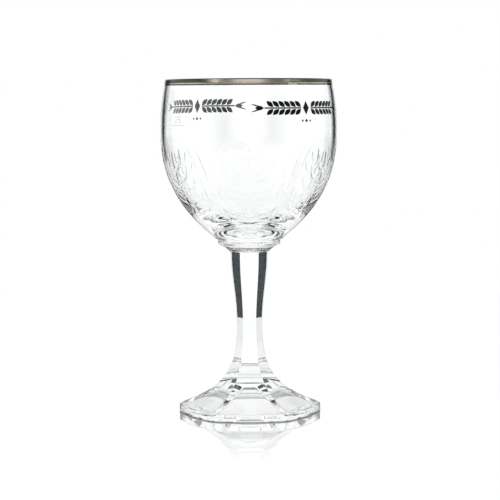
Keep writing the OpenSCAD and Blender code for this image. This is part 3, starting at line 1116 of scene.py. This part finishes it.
def fields_and_gaps(tree, turn):
    """White fields with dark gaps at the angles listed, on both sides, behind and in front."""
    ramp = tree.nodes.new("ShaderNodeValToRGB")
    stops = ramp.color_ramp.elements
    edges = [(0, grey(field_level)), (180, grey(field_level))]
    for start, end, soft_start, soft_end in gaps:
        edge = [(start - 2 * soft_start, grey(field_level)), (start - soft_start, grey(haze_level))]
        edge += [(start, gap_colour), (end, gap_colour), (end + soft_end, grey(field_level))]
        dip = [(start - front_soft, grey(field_level)), ((start + end) / 2, gap_colour),
               (end + front_soft, grey(field_level))]
        edges += edge + [(180 - angle, colour) for angle, colour in dip]
    edges.sort()
    for i, (angle, colour) in enumerate(edges):
        stop = stops[i] if i < 2 else stops.new(1)
        stop.position = angle / 180
        stop.color = colour
    tree.links.new(turn, ramp.inputs["Fac"])
    return ramp.outputs["Color"]


def in_turns(degrees):
    """Degrees as shares of a half turn."""
    return [angle / 180 for angle in degrees]


print("a quarter turn is the share", in_turns((90,))[0])

# %% [markdown]
# One node tree is the whole room. It works out how far a ray is turned and how steep it is, builds
# one picture for light in the glass and one for mirrored light, and picks by the kind of ray.


# %% The studio
def studio_world():
    """The room, as a world."""
    world = bpy.data.worlds.new("studio")
    bpy.context.scene.world = world
    world.use_nodes = True
    tree = world.node_tree
    tree.nodes.clear()
    way = tree.nodes.new("ShaderNodeTexCoord").outputs["Generated"]
    parts = tree.nodes.new("ShaderNodeSeparateXYZ")
    tree.links.new(way, parts.inputs["Vector"])
    turn = math_node(tree, "ARCTAN2", parts.outputs["X"], parts.outputs["Y"])
    turn = math_node(tree, "ADD", turn, field_turn)
    turn = math_node(tree, "DIVIDE", math_node(tree, "ABSOLUTE", turn), math.pi)
    up = parts.outputs["Z"]
    above = between(tree, up, *sky_z)
    below = between(tree, up, *ground_z)
    plain = math_node(tree, "MAXIMUM", above, below)
    through = mix_colours(tree, plain, fields_and_gaps(tree, turn), grey(field_level))
    high = between(tree, up, *room_up_z)
    low = between(tree, up, *room_down_z)
    room = math_node(tree, "MAXIMUM", high, low)
    front = between(tree, turn, *in_turns(front_turn))
    around_glass = mix_colours(tree, math_node(tree, "MAXIMUM", room, front), through, grey(room_level))
    card = between(tree, turn, *in_turns(front_card))
    card = math_node(tree, "MULTIPLY", card, math_node(tree, "SUBTRACT", 1, room))
    around_glass = mix_colours(tree, card, around_glass, grey(field_level))
    for heights, turns in cards:
        card = window(tree, turn, *in_turns(turns))
        card = math_node(tree, "MULTIPLY", card, window(tree, up, *heights))
        through = mix_colours(tree, card, through, gap_colour)
    from_camera, mirrored, refracted = ray_kinds(tree)
    in_glass = mix_colours(tree, mirrored, through, around_glass)
    open_air = mix_colours(tree, from_camera, plain_light, grey(1))
    light = tree.nodes.new("ShaderNodeBackground")
    sharp = math_node(tree, "MAXIMUM", refracted, mirrored)
    tree.links.new(mix_colours(tree, sharp, open_air, in_glass), light.inputs["Color"])
    output = tree.nodes.new("ShaderNodeOutputWorld")
    tree.links.new(light.outputs["Background"], output.inputs["Surface"])


studio_world()
print("the world is", bpy.context.scene.world.name)

# %% [markdown]
# The floor is white acrylic. It mirrors the foot close by, and the mirror image fades out towards
# the camera. Seen from higher up the gloss is gone, as it is on real acrylic. Beneath the gloss it is
# plain white, part of it lit, so that the foot keeps a faint shadow. Its mesh has rows that follow the
# outline of the foot, and an attribute on their points paints a shadow where the foot touches it.

# %% The floor
floor_r = 0.62
floor_drop = 0.05 * MM
floor_level = 1.06
floor_in_mirror = 0.12
floor_in_glass = 1.1
lit_share = 0.2
lit_white = 0.9
gloss_near, gloss_far = 0.03, 0.16
gloss_share = 0.72
gloss_rough = 0.004
gloss_facing = (0.68, 0.78)
# painted shadow: how dark the contact ring gets, and its rows as (offset from the foot edge in mm,
# darkness)
painted_shadow_depth = 0.75
painted_shadow_rows = ((-6, 0), (-1.2, 0.15), (-0.3, 1), (0.15, 1), (0.45, 0.2), (2.5, 0))


def acrylic_floor():
    """White acrylic: a glow and a lit white, darkened by a painted contact shadow, below a fading gloss.
    """
    material = bpy.data.materials.new("white_acrylic")
    material.use_nodes = True
    tree = material.node_tree
    tree.nodes.clear()
    from_camera, mirrored, refracted = ray_kinds(tree)
    # painted shadow: the attribute that darkens the glow and the lit white near the foot edge
    painted_shadow_node = tree.nodes.new("ShaderNodeAttribute")
    painted_shadow_node.attribute_name = "painted_contact_shadow"
    shade = between(tree, painted_shadow_node.outputs["Fac"], 0, 1, 1, 1 - painted_shadow_depth)
    white = tree.nodes.new("ShaderNodeEmission")
    glow = between(tree, refracted, 0, 1, floor_level, floor_in_glass)
    glow = math_node(tree, "MULTIPLY", glow, between(tree, mirrored, 0, 1, 1, floor_in_mirror))
    tree.links.new(math_node(tree, "MULTIPLY", glow, shade), white.inputs["Strength"])
    lit = tree.nodes.new("ShaderNodeBsdfDiffuse")
    tree.links.new(mix_colours(tree, shade, grey(0), grey(lit_white)), lit.inputs["Color"])
    seen = math_node(tree, "MAXIMUM", math_node(tree, "MAXIMUM", from_camera, mirrored), refracted)
    base = tree.nodes.new("ShaderNodeMixShader")
    tree.links.new(math_node(tree, "MULTIPLY", seen, 1 - lit_share), base.inputs["Fac"])
    tree.links.new(lit.outputs["BSDF"], base.inputs[1])
    tree.links.new(white.outputs["Emission"], base.inputs[2])
    gloss = tree.nodes.new("ShaderNodeBsdfGlossy")
    gloss.inputs["Color"].default_value = grey(1)
    gloss.inputs["Roughness"].default_value = gloss_rough
    away = tree.nodes.new("ShaderNodeVectorMath")
    away.operation = "LENGTH"
    tree.links.new(tree.nodes.new("ShaderNodeTexCoord").outputs["Object"], away.inputs[0])
    fade = between(tree, away.outputs["Value"], gloss_near, gloss_far, gloss_share, 0, smooth=True)
    facing = tree.nodes.new("ShaderNodeLayerWeight")
    fade = math_node(tree, "MULTIPLY", fade, between(tree, facing.outputs["Facing"], *gloss_facing))
    whole = tree.nodes.new("ShaderNodeMixShader")
    tree.links.new(math_node(tree, "MULTIPLY", fade, from_camera), whole.inputs["Fac"])
    tree.links.new(base.outputs["Shader"], whole.inputs[1])
    tree.links.new(gloss.outputs["BSDF"], whole.inputs[2])
    output = tree.nodes.new("ShaderNodeOutputMaterial")
    tree.links.new(whole.outputs["Shader"], output.inputs["Surface"])
    return material


rows = [np.array([[0, 0, -floor_drop]])]
rows += [level(edge_section + edge_way * out * MM, -floor_drop) for out, _ in painted_shadow_rows]
rows.append(level(edge_way * floor_r, -floor_drop))
floor = make_skin("floor", rows, [acrylic_floor()])
# painted shadow: store the darkness of each row on the floor's points
painted_contact_shadow = floor.data.attributes.new("painted_contact_shadow", "FLOAT", "POINT")
darkness = [0] + [value for _, value in painted_shadow_rows for _ in edge_way] + [0] * len(edge_way)
painted_contact_shadow.data.foreach_set("value", np.array(darkness, np.float32))
print(f"floor {2 * floor_r:.2f} m across")

# %% [markdown]
# Clear glass shows what is behind it and not what shines on it, so two weak, soft lamps are enough.
# They model the gilt and the enamels, and give the foot its faint shadow.

# %% The lamps
lamp_aim = (0, 0, 0.1)


def soft_lamp(name, place, size, watts):
    """A square soft lamp that looks at the middle of the glass."""
    data = bpy.data.lights.new(name, "AREA")
    data.size = size
    data.energy = watts
    lamp = bpy.data.objects.new(name, data)
    lamp.location = place
    lamp.rotation_euler = (Vector(place) - Vector(lamp_aim)).to_track_quat("Z", "Y").to_euler()
    bpy.context.scene.collection.objects.link(lamp)
    print(f"{name}: {watts} W")


soft_lamp("lamp_left", (-0.9, -0.6, 0.9), 0.5, 4)
soft_lamp("lamp_right", (0.9, -0.4, 0.7), 0.4, 2)

# %% [markdown]
# Light crosses up to a dozen faces of glass on its way through a stem or foot, so Cycles is allowed
# more turns than usual before it gives up on a path.

# %% Light paths
scene = bpy.context.scene
scene.cycles.max_bounces = 24
scene.cycles.transmission_bounces = 24
scene.cycles.glossy_bounces = 12
scene.cycles.transparent_max_bounces = 24
scene.view_settings.view_transform = "Standard"
print("light may turn", scene.cycles.max_bounces, "times")
